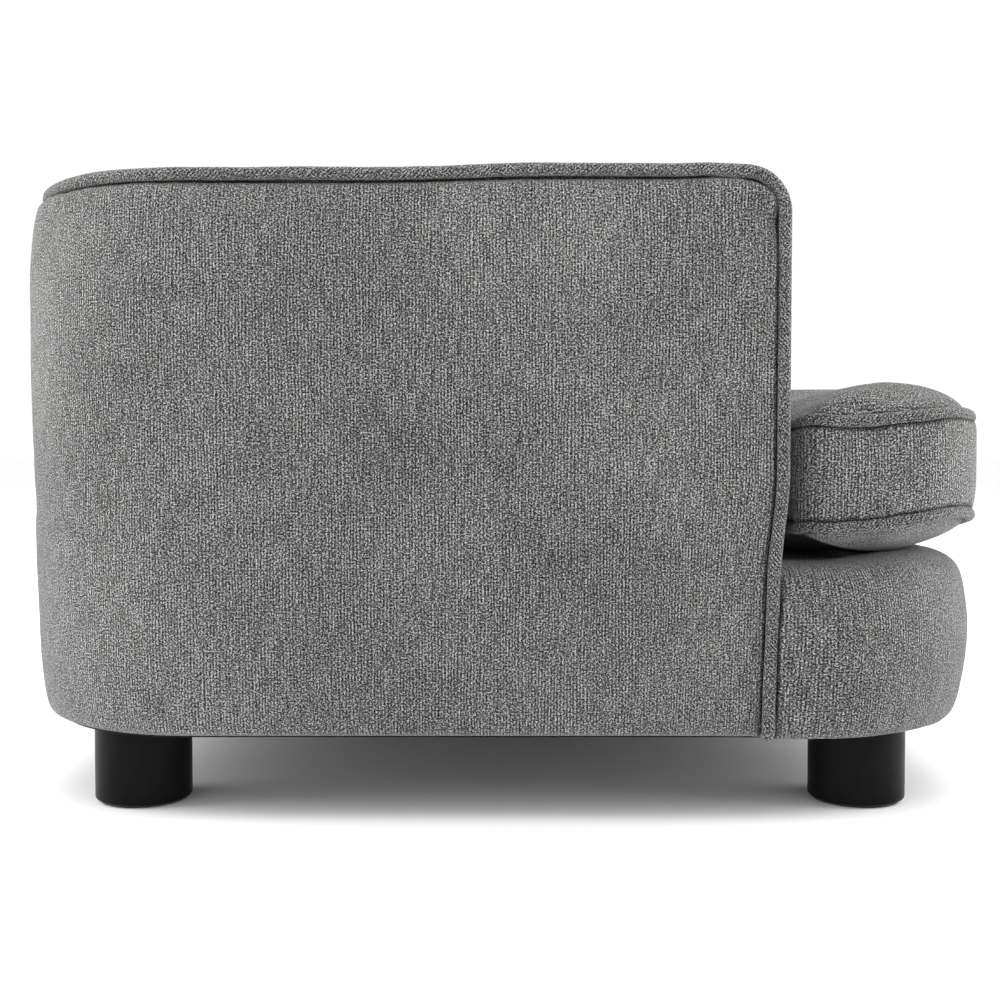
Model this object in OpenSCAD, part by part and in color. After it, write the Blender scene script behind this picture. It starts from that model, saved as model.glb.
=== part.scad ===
// Upholstered dog sofa: a wooden frame on four round legs, foam pads, chenille covers
// with a corded edge, and a loose T-shaped seat cushion with a zipped cover.
// Millimetres. +Z is up, the front faces -Y, and the origin is on the floor under the middle.
// Left is the -X side. Left-hand pieces are drawn, and right-hand pieces are their mirror image.

/* [Body] */
// Width over both arms
body_w = 920; // [880:10:980]
// Depth from the front of the base to the outside of the back
body_d = 634; // [620:2:660]
// Height of the arm and back tops
body_h = 399; // [390:1:420]
// Plan radius of the two front corners
front_r = 130; // [120:1:135]
// Plan radius of the two rear corners
rear_r = 125; // [115:1:130]
// Height of the gap under the base
base_z = 50; // [46:1:58]
// Height of the seat deck, where the cushion rests
deck_z = 155; // [152:1:160]

/* [Arms and back] */
// Thickness of each padded arm
arm_w = 85; // [80:1:95]
// Thickness of the padded back
back_w = 100; // [95:1:110]
// Depth of the base that stands in front of the arms
apron = 142; // [135:1:150]
// Radius of the arm's top front corner, seen from the side
arm_r = 28; // [24:1:32]

/* [Fabric and foam] */
// Thickness of the upholstery fabric
skin = 1.5; // [1:0.1:2]
// Thickness of the foam on the outside
pad = 12; // [10:0.5:13]
// Radius of the cord that edges the covers
welt_r = 4; // [3.5:0.1:4.5]

/* [Wood] */
// Thickness of the plywood boards
board = 9; // [8:0.5:12]
// Thickness of the solid rails and posts
rail = 18; // [16:1:20]
// Thickness of the bendable plywood at the round corners
bent = 5; // [4:0.5:6]

/* [Legs] */
// Radius of each round leg
leg_r = 31; // [28:1:34]
// Distance of the leg centres from the middle, along X
leg_x = 389; // [375:1:392]
// Distance of the leg centres from the middle, along Y
leg_y = 234; // [225:1:236]
// Radius of the leg's hanger bolt
bolt_r = 4; // [3:0.5:4]

/* [Cushion] */
// Height of the cushion's lower cord
cord_low_z = 178; // [176:1:182]
// Height of the cushion's upper cord
cord_high_z = 244; // [240:1:250]
// How far the padding crowns above the upper cord
crown = 24; // [16:1:28]
// Plan radius of the cushion's front corners
cushion_front_r = 75; // [60:1:80]
// Length of the zip in the back of the cushion
zip_len = 500; // [420:10:540]

/* [Hidden] */
$fn = 64;

eps = 0.01;          // lets a cutting shape pass through a face
far = 600;           // longer than the sofa in any direction from the origin
half_w = body_w / 2;
half_d = body_d / 2;
welt_d = 2 * welt_r;

// Faces of the arm, from outside to inside, as distances from the middle
pad_in = skin + pad;                 // inset of the boards from the outside
board_in = pad_in + board;           // inset of the rails and the deck
arm_face = half_w - arm_w;           // inner face of the arm
arm_front = -half_d + apron;         // front face of the arm
back_face = half_d - back_w;         // front face of the back
arm_pad = 15.5;                      // foam on the inside of the arm
back_pad = 25.5;                     // foam on the inside of the back
arm_board = arm_face + skin + arm_pad;
back_board = back_face + skin + back_pad;
board_front = arm_front + welt_d;    // front edge of the arm boards
board_top = body_h - 24;             // top edge of the arm and back boards
arc_front = -half_d + front_r;       // where the front corners start
arc_rear = half_d - rear_r;          // where the rear corners start
front_straight = half_w - front_r;   // half the straight stretch of the front
rear_straight = half_w - rear_r;     // half the straight stretch of the back

// Heights of the wood
wood_z = base_z + 1;
board_z = base_z + 17;               // lower edge of the outer boards, clear of the rounded hem
deck_pad_z = deck_z - skin - 3.5;    // top of the plywood deck
rail_top = deck_pad_z - board;
block_h = 40;
block_y = 170;                       // the corner blocks lie beyond this, front and rear

// Fabric under the base, fasteners
hem = 20;                            // fabric turned under the frame
staple_in = 27;                      // inset of the staples from the outside
staple_pitch = 60;
glide_h = 1.5;
leg_fillet = 2.5;
bolt_low = base_z - 23;
bolt_len = 62;
bolt_gap = 0.05;                     // radial clearance round the hanger bolts
nut_r = 5.2;

// Cushion
cushion_gap = 4;                     // to the arms
cushion_a = arm_face - cushion_gap;  // half width between the arms
cushion_b = half_w - 12;             // half width in front of the arms
cushion_front = -half_d + 6;
cushion_ear = arm_front - 8;         // rear face of the parts in front of the arms
cushion_rear = back_face - 14;
band_low = cord_low_z + welt_r;
band_high = cord_high_z - welt_r;
cord_in = 3;                         // inset of the cord's middle from the band
crown_in = 34;                       // where the crown reaches its height
cushion_low = deck_z + 0.5;

// Zip
zip_z = (cord_low_z + cord_high_z) / 2;
zip_y = cushion_rear - 0.4;          // face of the tape
tape_h = 13;
teeth_h = 5;
teeth_t = 1.8;
slider_x = -zip_len / 2 + 6;
slider_l = 12;
slider_h = 9;
slider_y = zip_y + teeth_t + 0.4;    // underside of the slider's plate
plate_t = 1.2;
arch_t = 1;
pull_y = slider_y + plate_t + 1.1;   // axis of the pull
pull_r = 0.8;
pull_l = 26;

// ---------- helpers ----------

function unit(v) = v / norm(v);

// A box from its two corners
module box(x, y, z) {
    translate([x[0], y[0], z[0]]) cube([x[1] - x[0], y[1] - y[0], z[1] - z[0]]);
}

// What lies between a square corner at p and a fillet of radius r, between directions a and b
module corner_sliver(p, a, b, r) {
    centre = p - a * r + b * r;
    difference() {
        polygon([p, p - a * r, centre, p + b * r]);
        translate(centre) circle(r);
    }
}

// An anticlockwise right-angled outline with a true arc of its own radius at each corner
module outline(points, radii) {
    n = len(points);
    module slivers(turn) {
        for (i = [0 : n - 1]) {
            a = unit(points[i] - points[(i + n - 1) % n]);
            b = unit(points[(i + 1) % n] - points[i]);
            if (radii[i] > 0 && turn * cross(a, b) > 0) corner_sliver(points[i], a, b, radii[i]);
        }
    }
    difference() {
        polygon(points);
        slivers(1);
    }
    slivers(-1);
}

// A cord that follows the same kind of outline, at height z
module cord_loop(points, radii, z) {
    n = len(points);
    for (i = [0 : n - 1]) {
        p = points[i];
        q = points[(i + 1) % n];
        a = unit(p - points[(i + n - 1) % n]);
        b = unit(q - p);
        start = cross(a, b) > 0 ? -b : a;
        from = p + b * radii[i];
        to = q - b * radii[(i + 1) % n];
        translate([from[0], from[1], z])
            rotate([0, 0, atan2(b[1], b[0])]) rotate([0, 90, 0])
            cylinder(r = welt_r, h = norm(to - from));
        translate(concat(p - a * radii[i] + b * radii[i], [z]))
            rotate([0, 0, atan2(start[1], start[0])])
            rotate_extrude(angle = 90) translate([radii[i], 0]) circle(welt_r);
    }
}

// The sofa's plan, inset by i
module plan(i) {
    x = half_w - i;
    y = half_d - i;
    outline([[-x, -y], [x, -y], [x, y], [-x, y]],
            [front_r - i, front_r - i, rear_r - i, rear_r - i]);
}

module slab(i, z) {
    translate([0, 0, z[0]]) linear_extrude(z[1] - z[0]) plan(i);
}

// A wall that follows the plan, from inset i to inset j
module wall(i, j, z) {
    difference() {
        slab(i, z);
        slab(j, [z[0] - 1, z[1] + 1]);
    }
}

// Everything behind the arm's side profile, which has a round top front corner
module behind_profile(i) {
    translate([-far, 0, 0]) rotate([90, 0, 90]) linear_extrude(2 * far)
        outline([[arm_front + i, 0], [half_d, 0], [half_d, body_h - i], [arm_front + i, body_h - i]],
                [0, 0, 0, arm_r - i]);
}

// The left arm's share of the plan, up to the mitre with the back
module arm_region(i) {
    x = arm_face + i;
    y = back_face + i;
    reach = 130;
    linear_extrude(far)
        polygon([[-x, -far], [-x, y], [-x - reach, y + reach], [-x - reach, -far]]);
}

// The back's share of the plan, between the two mitres
module back_region(i) {
    x = arm_face + i;
    y = back_face + i;
    reach = 130;
    linear_extrude(far)
        polygon([[-x, y], [x, y], [x + reach, y + reach], [-x - reach, y + reach]]);
}

// The part of the plan that the seat deck shows: between the arms and in front of them
module deck_region(i, z) {
    intersection() {
        slab(i, z);
        union() {
            box([-far, far], [-far, arm_front], z);
            box([-arm_face, arm_face], [arm_front - eps, back_face], z);
        }
    }
}

module on_right() {
    mirror([1, 0, 0]) children();
}

module on_both() {
    children();
    on_right() children();
}

module at_legs() {
    for (x = [-leg_x, leg_x], y = [-leg_y, leg_y]) translate([x, y, 0]) children();
}

// ---------- wooden frame ----------

module front_rail() {
    color("burlywood")
        box([-front_straight, front_straight], [-half_d + pad_in, -half_d + pad_in + rail],
            [wood_z, rail_top]);
}

module rear_rail() {
    color("burlywood")
        box([-rear_straight, rear_straight], [half_d - board_in - rail, half_d - board_in],
            [wood_z, rail_top]);
}

module side_rail() {
    color("burlywood")
        box([-half_w + board_in, -half_w + board_in + rail], [-block_y, block_y],
            [wood_z, rail_top]);
}

module centre_rail() {
    color("burlywood")
        box([-rail / 2, rail / 2], [-half_d + pad_in + rail, half_d - board_in - rail],
            [wood_z, rail_top]);
}

// Blocks in the four corners, each drilled for a leg's bolt
module corner_blocks() {
    z = [wood_z, wood_z + block_h];
    color("tan") on_both() difference() {
        intersection() {
            slab(board_in, z);
            union() {
                box([-far, -front_straight], [-far, -block_y], z);
                box([-far, -rear_straight], [block_y, far], z);
            }
        }
        for (y = [-leg_y, leg_y]) translate([-leg_x, y, base_z])
            cylinder(r = nut_r + bolt_gap, h = block_h + 2);
    }
}

module seat_deck() {
    color("wheat") slab(board_in, [rail_top, deck_pad_z]);
}

module arm_outer_board() {
    x = [-half_w + pad_in, -half_w + board_in];
    color("wheat") union() {
        box(x, [board_front, arc_rear], [board_z, board_top]);
        box(x, [arc_front, board_front + eps], [board_z, deck_pad_z]);
    }
}

module arm_inner_board() {
    color("wheat")
        box([-arm_board - board, -arm_board], [board_front, back_board], [deck_pad_z, board_top]);
}

module arm_front_posts() {
    color("burlywood") on_both()
        box([-half_w + board_in, -arm_board - board], [board_front, board_front + rail],
            [deck_pad_z, board_top]);
}

module arm_top_rails() {
    color("burlywood") on_both()
        box([-half_w + board_in, -arm_board - board], [board_front + rail, arc_rear],
            [board_top - rail, board_top]);
}

module back_outer_board() {
    color("wheat")
        box([-rear_straight, rear_straight], [half_d - board_in, half_d - pad_in],
            [board_z, board_top]);
}

module back_inner_board() {
    x = arm_board + board;
    color("wheat") box([-x, x], [back_board, back_board + board], [deck_pad_z, board_top]);
}

module back_top_rail() {
    color("burlywood")
        box([-rear_straight, rear_straight], [back_board + board, half_d - board_in],
            [board_top - rail, board_top]);
}

// A quarter tube round one corner's centre, on the left
module quarter_tube(centre, start, r, z) {
    translate([centre[0], centre[1], z[0]]) rotate([0, 0, start])
        rotate_extrude(angle = 90) translate([r[0], 0]) square([r[1] - r[0], z[1] - z[0]]);
}

module front_bent_corners() {
    r = front_r - pad_in;
    color("wheat") on_both()
        quarter_tube([-front_straight, arc_front], 180, [r - bent, r], [board_z, deck_pad_z]);
}

module rear_bent_corners() {
    r = rear_r - pad_in;
    color("wheat") on_both()
        quarter_tube([-rear_straight, arc_rear], 90, [r - bent, r], [board_z, board_top]);
}

// ---------- foam ----------

module arm_side_pad() {
    color("lightyellow") intersection() {
        box([-half_w + skin, -half_w + pad_in], [board_front, arc_rear], [wood_z, board_top]);
        behind_profile(welt_d);
    }
}

module rear_corner_pads() {
    r = rear_r - skin;
    color("lightyellow") on_both()
        quarter_tube([-rear_straight, arc_rear], 90, [r - pad, r], [wood_z, board_top]);
}

module back_outer_pad() {
    color("lightyellow")
        box([-rear_straight, rear_straight], [half_d - pad_in, half_d - skin],
            [wood_z, board_top]);
}

module arm_inner_pad() {
    color("lightyellow")
        box([-arm_board, -arm_face - skin], [board_front, back_face + skin],
            [deck_pad_z, board_top]);
}

module back_inner_pad() {
    color("lightyellow")
        box([-arm_board, arm_board], [back_face + skin, back_board], [deck_pad_z, board_top]);
}

module arm_front_pads() {
    color("lightyellow") on_both() intersection() {
        box([-half_w + welt_d, -arm_face - skin], [arm_front + skin, board_front],
            [deck_z, board_top]);
        behind_profile(skin);
    }
}

// The pad along the tops, with a step along its outer edge that the cord sits in
module top_pad_layers() {
    intersection() {
        slab(skin, [board_top, body_h - welt_d]);
        behind_profile(welt_d);
    }
    intersection() {
        slab(welt_d, [board_top, body_h - skin]);
        behind_profile(skin);
    }
}

module arm_top_pad() {
    color("lightyellow") intersection() {
        top_pad_layers();
        arm_region(skin);
    }
}

module back_top_pad() {
    color("lightyellow") intersection() {
        top_pad_layers();
        back_region(skin);
    }
}

module base_front_pad() {
    color("lightyellow") intersection() {
        wall(skin, pad_in, [wood_z, deck_pad_z]);
        box([-far, far], [-far, arm_front], [0, far]);
    }
}

module deck_pad() {
    color("lightyellow") deck_region(skin, [deck_pad_z, deck_z - skin]);
}

// ---------- covers ----------

// One piece of fabric round the outside of both arms and the back, turned under at the bottom
module outer_cover() {
    color("gray") intersection() {
        union() {
            wall(0, skin, [base_z, body_h]);
            wall(skin / 2, hem, [base_z, wood_z]);
        }
        behind_profile(welt_d);
    }
}

// Fabric over the inside, the top and the front of an arm
module arm_cover() {
    color("darkgray") difference() {
        intersection() {
            slab(welt_d, [deck_z, body_h]);
            behind_profile(0);
            arm_region(0);
        }
        intersection() {
            box([-far, -arm_face - skin], [-far, far], [0, body_h - skin]);
            behind_profile(skin);
        }
    }
}

// Fabric over the inside and the top of the back
module back_cover() {
    color("darkgray") difference() {
        intersection() {
            slab(welt_d, [deck_z, body_h]);
            back_region(0);
        }
        box([-far, far], [back_face + skin, far], [0, body_h - skin]);
    }
}

module base_front_cover() {
    color("gray") intersection() {
        union() {
            wall(0, skin, [base_z, deck_z - skin]);
            wall(skin / 2, hem, [base_z, wood_z]);
        }
        box([-far, far], [-far, arm_front], [0, far]);
    }
}

module deck_cover() {
    color("darkgray") deck_region(0, [deck_z - skin, deck_z]);
}

// Thin black cloth that closes the underside, inside the turned-under fabric
module dust_cover() {
    color("black") difference() {
        slab(hem, [base_z, wood_z]);
        at_legs() translate([0, 0, base_z - 1]) cylinder(r = bolt_r + 2, h = 3);
    }
}

// The corded edge: up the front of each arm, back along its top and round behind the back
module outer_welt() {
    x = -half_w + welt_r;
    y = arm_front + welt_r;
    z = body_h - welt_r;
    bend = arm_r - welt_r;
    color("dimgray") {
        on_both() {
            translate([x, y, base_z]) cylinder(r = welt_r, h = z - bend - base_z);
            translate([x, y + bend, z - bend]) rotate([0, -90, 0]) rotate([0, 0, -90])
                rotate_extrude(angle = 90) translate([bend, 0]) circle(welt_r);
            translate([x, y + bend, z]) rotate([-90, 0, 0])
                cylinder(r = welt_r, h = arc_rear - y - bend);
            translate([-rear_straight, arc_rear, z]) rotate([0, 0, 90])
                rotate_extrude(angle = 90) translate([rear_r - welt_r, 0]) circle(welt_r);
        }
        translate([-rear_straight, half_d - welt_r, z]) rotate([0, 90, 0])
            cylinder(r = welt_r, h = 2 * rear_straight);
    }
}

// ---------- legs and fasteners ----------

module leg() {
    color("black") difference() {
        rotate_extrude()
            outline([[0, glide_h], [leg_r, glide_h], [leg_r, base_z], [0, base_z]],
                    [0, leg_fillet, 0, 0]);
        translate([0, 0, bolt_low - 2]) cylinder(r = bolt_r + bolt_gap, h = base_z);
    }
}

module leg_at(sx, sy) {
    translate([sx * leg_x, sy * leg_y, 0]) leg();
}

module leg_glides() {
    color("dimgray") at_legs() cylinder(r = leg_r - 3.5, h = glide_h);
}

module hanger_bolts() {
    color("silver") at_legs() translate([0, 0, bolt_low]) cylinder(r = bolt_r, h = bolt_len);
}

module tee_nuts() {
    top = wood_z + block_h;
    flange_r = 11;
    color("silver") at_legs() difference() {
        union() {
            translate([0, 0, top - 12]) cylinder(r = nut_r, h = 12 + eps);
            translate([0, 0, top]) cylinder(r = flange_r, h = 1.5);
        }
        translate([0, 0, top - 13]) cylinder(r = bolt_r + bolt_gap, h = 16);
    }
}

// Countersunk screws through the deck into the rails
module deck_screws() {
    front_y = -half_d + board_in + 4.5;
    rear_y = half_d - board_in - rail / 2;
    side_x = half_w - board_in - rail / 2;
    spots = concat(
        [for (x = [-280 : 140 : 280]) [x, front_y]],
        [for (x = [-280 : 140 : 280]) [x, rear_y]],
        [for (x = [-side_x, side_x], y = [-120 : 120 : 120]) [x, y]],
        [for (y = [-150 : 100 : 150]) [0, y]]);
    color("goldenrod") for (p = spots) translate([p[0], p[1], deck_pad_z]) {
        translate([0, 0, -25]) cylinder(r = 2, h = 25);
        translate([0, 0, -2.5]) cylinder(r1 = 2, r2 = 4, h = 2.5);
    }
}

module staple() {
    crown_l = 10;
    wire = 1;
    box([-crown_l / 2, crown_l / 2], [-wire / 2, wire / 2], [-0.6, 0]);
    for (x = [-crown_l / 2, crown_l / 2 - wire])
        box([x, x + wire], [-wire / 2, wire / 2], [-eps, 6]);
}

module dust_cover_staples() {
    x = half_w - staple_in;
    y = half_d - staple_in;
    color("silver") translate([0, 0, base_z]) {
        for (s = [-1, 1], x = [-5 : 5]) translate([x * staple_pitch, s * y, 0]) staple();
        for (s = [-1, 1], y = [-2.5 : 2.5])
            translate([s * x, y * staple_pitch, 0]) rotate([0, 0, 90]) staple();
    }
}

// ---------- seat cushion ----------

// The T-shaped plan of the cushion, inset by i: its points and its corner radii
function cushion_points(i) = [
    [-cushion_b + i, cushion_front + i], [cushion_b - i, cushion_front + i],
    [cushion_b - i, cushion_ear - i], [cushion_a - i, cushion_ear - i],
    [cushion_a - i, cushion_rear - i], [-cushion_a + i, cushion_rear - i],
    [-cushion_a + i, cushion_ear - i], [-cushion_b + i, cushion_ear - i]
];
function cushion_radii(i) = [
    cushion_front_r - i, cushion_front_r - i, 16 - i, 8 + i, 30 - i, 30 - i, 8 + i, 16 - i
];

module cushion_slab(i, z) {
    translate([0, 0, z[0]]) linear_extrude(z[1] - z[0])
        outline(cushion_points(i), cushion_radii(i));
}

// Round posts that a hull turns into a rectangle with rounded corners, inset by i. The plan's
// front corners have radius front_r.
module corner_posts(x, y, i, front_r, z, h) {
    post_r = 23;
    bend = max(front_r - i, post_r);
    for (side = [-1, 1]) {
        for (turn = [0, 45, 90])
            translate([side * (x - i - bend + (bend - post_r) * cos(turn)),
                       y[0] + i + bend - (bend - post_r) * sin(turn), z])
                cylinder(r = post_r, h = h, $fn = 32);
        translate([side * (x - i - post_r), y[1] - i - post_r, z])
            cylinder(r = post_r, h = h, $fn = 32);
    }
}

// A low pyramid on that rectangle, from inset i at z[0] to z[1] and on to the crown at z[2]
module crowned(x, y, i, front_r, z) {
    hull() {
        corner_posts(x, y, i, front_r, min(z[0], z[1]), abs(z[1] - z[0]));
        corner_posts(x, y, crown_in, front_r, min(z[1], z[2]), abs(z[2] - z[1]));
    }
}

// The crown over the whole T, made from one rectangle behind and one in front
module crown_of_t(i, z) {
    crowned(cushion_a, [cushion_front, cushion_rear], i, 40, z);
    crowned(cushion_b, [cushion_front, cushion_ear], i, cushion_front_r, z);
}

module cushion_core() {
    i = 2 * skin + welt_d - 2;
    color("lightyellow") {
        cushion_slab(skin + 0.2, [band_low, band_high]);
        crown_of_t(i, [band_high - eps, band_high + 6, cord_high_z + crown]);
        crown_of_t(i, [band_low + eps, band_low - 6, cushion_low + skin + 0.2]);
    }
}

module cushion_top_panel() {
    i = 2 * skin + welt_d - 2;
    top = cord_high_z + crown;
    color("darkgray") difference() {
        crown_of_t(i - skin - 0.2, [band_high, band_high + 7.7, top + skin + 0.2]);
        crown_of_t(i - 0.2, [band_high - 1, band_high + 6.2, top + 0.2]);
    }
}

module cushion_bottom_panel() {
    i = 2 * skin + welt_d - 2;
    color("darkgray") difference() {
        crown_of_t(i - skin - 0.2, [band_low, band_low - 7.7, cushion_low]);
        crown_of_t(i - 0.2, [band_low + 1, band_low - 6.2, cushion_low + skin]);
    }
}

// The upright band round the cushion, with a window for the zip in its back
module cushion_band() {
    color("gray") difference() {
        cushion_slab(0, [band_low, band_high]);
        cushion_slab(skin, [band_low - 1, band_high + 1]);
        box([-zip_len / 2 - 2, zip_len / 2 + 2], [cushion_rear - 2 * skin, cushion_rear + 1],
            [zip_z - tape_h - 0.5, zip_z + tape_h + 0.5]);
    }
}

module cushion_welt(z) {
    color("dimgray") cord_loop(cushion_points(cord_in), cushion_radii(cord_in), z);
}

module zip_tape() {
    slit = 0.3;
    color("dimgray") for (s = [0, 1]) translate([0, 0, zip_z]) mirror([0, 0, s])
        box([-zip_len / 2 - 1.5, zip_len / 2 + 1.5], [zip_y - 1, zip_y], [slit, tape_h]);
}

module zip_teeth() {
    color("gray")
        box([-zip_len / 2, zip_len / 2], [zip_y, zip_y + teeth_t],
            [zip_z - teeth_h / 2, zip_z + teeth_h / 2]);
}

// A channel over the teeth, with an arch on it that holds the pull's cross pin
module zip_slider() {
    x = [slider_x - slider_l / 2, slider_x + slider_l / 2];
    plate_y = slider_y + plate_t;
    arch_y = pull_y + pull_r + 0.3;
    color("silver") union() {
        box(x, [slider_y, plate_y], [zip_z - slider_h / 2, zip_z + slider_h / 2]);
        for (s = [0, 1]) translate([0, 0, zip_z]) mirror([0, 0, s])
            box(x, [zip_y + 0.3, slider_y + eps], [slider_h / 2 - 1.4, slider_h / 2]);
        for (s = [x[0] + 1, x[1] - 2.4])
            box([s, s + 1.4], [plate_y - eps, arch_y + eps], [zip_z - 1, zip_z + 1]);
        box([x[0] + 1, x[1] - 1], [arch_y, arch_y + arch_t], [zip_z - 1, zip_z + 1]);
    }
}

// A tab on two arms, with a pin across them that turns under the slider's arch
module zip_pull() {
    y = [pull_y - 0.65, pull_y + 0.65];
    color("silver") union() {
        translate([slider_x, pull_y, zip_z - 4]) cylinder(r = pull_r, h = 8);
        for (s = [0, 1]) translate([0, 0, zip_z]) mirror([0, 0, s])
            box([slider_x - 0.8, slider_x + 9], y, [2.6, 4]);
        box([slider_x + 8, slider_x + pull_l], y, [zip_z - 4, zip_z + 4]);
    }
}

// ---------- nodes ----------

front_rail();
rear_rail();
side_rail();  // left_side_rail
on_right() side_rail();  // right_side_rail
centre_rail();
corner_blocks();
seat_deck();
arm_outer_board();  // left_arm_outer_board
on_right() arm_outer_board();  // right_arm_outer_board
arm_inner_board();  // left_arm_inner_board
on_right() arm_inner_board();  // right_arm_inner_board
arm_front_posts();
arm_top_rails();
back_outer_board();
back_inner_board();
back_top_rail();
front_bent_corners();
rear_bent_corners();
arm_side_pad();  // left_arm_side_pad
on_right() arm_side_pad();  // right_arm_side_pad
rear_corner_pads();
back_outer_pad();
arm_inner_pad();  // left_arm_inner_pad
on_right() arm_inner_pad();  // right_arm_inner_pad
back_inner_pad();
arm_front_pads();
arm_top_pad();  // left_arm_top_pad
on_right() arm_top_pad();  // right_arm_top_pad
back_top_pad();
base_front_pad();
deck_pad();
outer_cover();
arm_cover();  // left_arm_cover
on_right() arm_cover();  // right_arm_cover
back_cover();
base_front_cover();
deck_cover();
dust_cover();
outer_welt();
leg_at(-1, -1);  // leg_front_left
leg_at(1, -1);  // leg_front_right
leg_at(-1, 1);  // leg_rear_left
leg_at(1, 1);  // leg_rear_right
leg_glides();
hanger_bolts();
tee_nuts();
deck_screws();
dust_cover_staples();
cushion_core();
cushion_top_panel();
cushion_bottom_panel();
cushion_band();
cushion_welt(cord_high_z);  // cushion_top_welt
cushion_welt(cord_low_z);  // cushion_bottom_welt
zip_tape();
zip_teeth();
zip_slider();
zip_pull();
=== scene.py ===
"""The looks of an upholstered dog sofa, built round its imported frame.

Metres. +Z is up, the front faces -Y, left is the -X side. The covers are grids and simulated
cloth that carry a UV map named weave, in metres: u runs across the fabric's ribs and v along them.
"""
import math

import bmesh
import bpy
import numpy as np
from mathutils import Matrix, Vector, geometry, kdtree, noise


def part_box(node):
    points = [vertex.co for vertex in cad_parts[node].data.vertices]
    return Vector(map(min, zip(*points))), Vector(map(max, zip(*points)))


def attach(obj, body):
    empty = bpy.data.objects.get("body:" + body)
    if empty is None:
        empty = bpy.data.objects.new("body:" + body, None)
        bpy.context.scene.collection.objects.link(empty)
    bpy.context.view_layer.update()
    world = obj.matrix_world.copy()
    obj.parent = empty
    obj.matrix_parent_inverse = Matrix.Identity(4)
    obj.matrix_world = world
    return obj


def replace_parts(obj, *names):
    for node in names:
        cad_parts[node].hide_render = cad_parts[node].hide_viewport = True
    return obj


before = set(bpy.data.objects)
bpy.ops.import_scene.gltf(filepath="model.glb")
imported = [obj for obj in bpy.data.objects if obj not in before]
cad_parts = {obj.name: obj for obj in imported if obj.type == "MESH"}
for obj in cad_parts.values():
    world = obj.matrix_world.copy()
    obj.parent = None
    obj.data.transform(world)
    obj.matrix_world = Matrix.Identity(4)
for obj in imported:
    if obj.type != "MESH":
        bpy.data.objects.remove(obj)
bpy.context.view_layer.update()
scene = bpy.context.scene
MM = 0.001

# Places taken from the frame
WELT_LOW, WELT_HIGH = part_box("outer_welt")
BAND_LOW, BAND_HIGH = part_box("cushion_band")
TOP_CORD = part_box("cushion_top_welt")
LOW_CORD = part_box("cushion_bottom_welt")
DECK_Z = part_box("deck_cover")[1].z
HALF_W = WELT_HIGH.x
FRONT_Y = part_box("base_front_cover")[0].y
REAR_Y = WELT_HIGH.y
TOP_Z = WELT_HIGH.z
BOTTOM_Z = WELT_LOW.z
ARM_FRONT = WELT_LOW.y
ARM_FACE = -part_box("left_arm_cover")[1].x
BACK_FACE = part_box("back_cover")[0].y
CORD_R = (TOP_CORD[1].z - TOP_CORD[0].z) / 2
FRONT_R = 0.130                     # plan radius of the base's front corners
REAR_R = 0.125                      # and of the rear corners
ARM_R = 0.028                       # radius of the arms' top front corners, seen from the side

STEP = 0.006                        # spacing of the fabric's points before they are subdivided
SKIN = 0.0015                       # thickness of the fabric


# ---------- curves and grids ----------

def smooth(t):
    """Rises from 0 to 1 as t does, with level ends."""
    t = np.clip(t, 0, 1)
    return t * t * (3 - 2 * t)


def bell(distance, width):
    """1 at no distance, falling to 0 over about twice the width."""
    return np.exp(-(distance / width) ** 2)


def lengths(points):
    """Distance along a line of points."""
    gaps = np.linalg.norm(np.diff(points, axis=0), axis=1)
    return np.concatenate([[0], np.cumsum(gaps)])


def route(corners, radii, step=STEP):
    """Points along straight lines whose right-angled corners are true arcs."""
    p = [np.array(c, float) for c in corners]
    line = [p[0]]
    for i in range(1, len(p) - 1):
        a = (p[i] - p[i - 1]) / np.linalg.norm(p[i] - p[i - 1])
        b = (p[i + 1] - p[i]) / np.linalg.norm(p[i + 1] - p[i])
        r = radii[i]
        centre = p[i] - a * r + b * r
        turns = max(2, math.ceil(r * math.pi / 2 / step))
        for k in range(turns + 1):
            angle = k / turns * math.pi / 2
            line.append(centre - b * r * math.cos(angle) + a * r * math.sin(angle))
    line.append(p[-1])
    even = [line[0]]
    for start, end in zip(line, line[1:]):
        gap = np.linalg.norm(end - start)
        count = max(1, round(gap / step)) if gap > 0 else 0
        even += [start + (end - start) * k / count for k in range(1, count + 1)]
    return np.array(even)


def fine_ends(line, reach=0.012, step=1.5 * MM):
    """The same line, with closer points near its two straight ends."""
    s = lengths(line)
    close = np.arange(0, reach, step)
    even = np.concatenate([close, s[(s > reach) & (s < s[-1] - reach)], s[-1] - close[::-1]])
    return np.stack([np.interp(even, s, line[:, k]) for k in range(2)], axis=1)


def normals_of(plan, side):
    """Unit normals of a plan line, on its left for side 1 and on its right for side -1."""
    t = np.gradient(plan, axis=0)
    t /= np.linalg.norm(t, axis=1)[:, None]
    return side * np.stack([-t[:, 1], t[:, 0]], axis=1)


def spline(controls, step=STEP):
    """A smooth line through control points, with its own points evenly spaced."""
    p = np.array(controls, float)
    d = lengths(p)
    m = np.gradient(p, d, axis=0)
    fine = np.linspace(0, d[-1], 40 * len(p))
    i = np.clip(np.searchsorted(d, fine, side="right") - 1, 0, len(p) - 2)
    h = (d[i + 1] - d[i])[:, None]
    t = ((fine - d[i])[:, None]) / h
    line = ((1 + 2 * t) * (1 - t) ** 2 * p[i] + t * (1 - t) ** 2 * h * m[i]
            + t * t * (3 - 2 * t) * p[i + 1] + t * t * (t - 1) * h * m[i + 1])
    s = lengths(line)
    even = np.linspace(0, s[-1], max(4, round(s[-1] / step) + 1))
    return np.stack([np.interp(even, s, line[:, k]) for k in range(p.shape[1])], axis=1)


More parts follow.
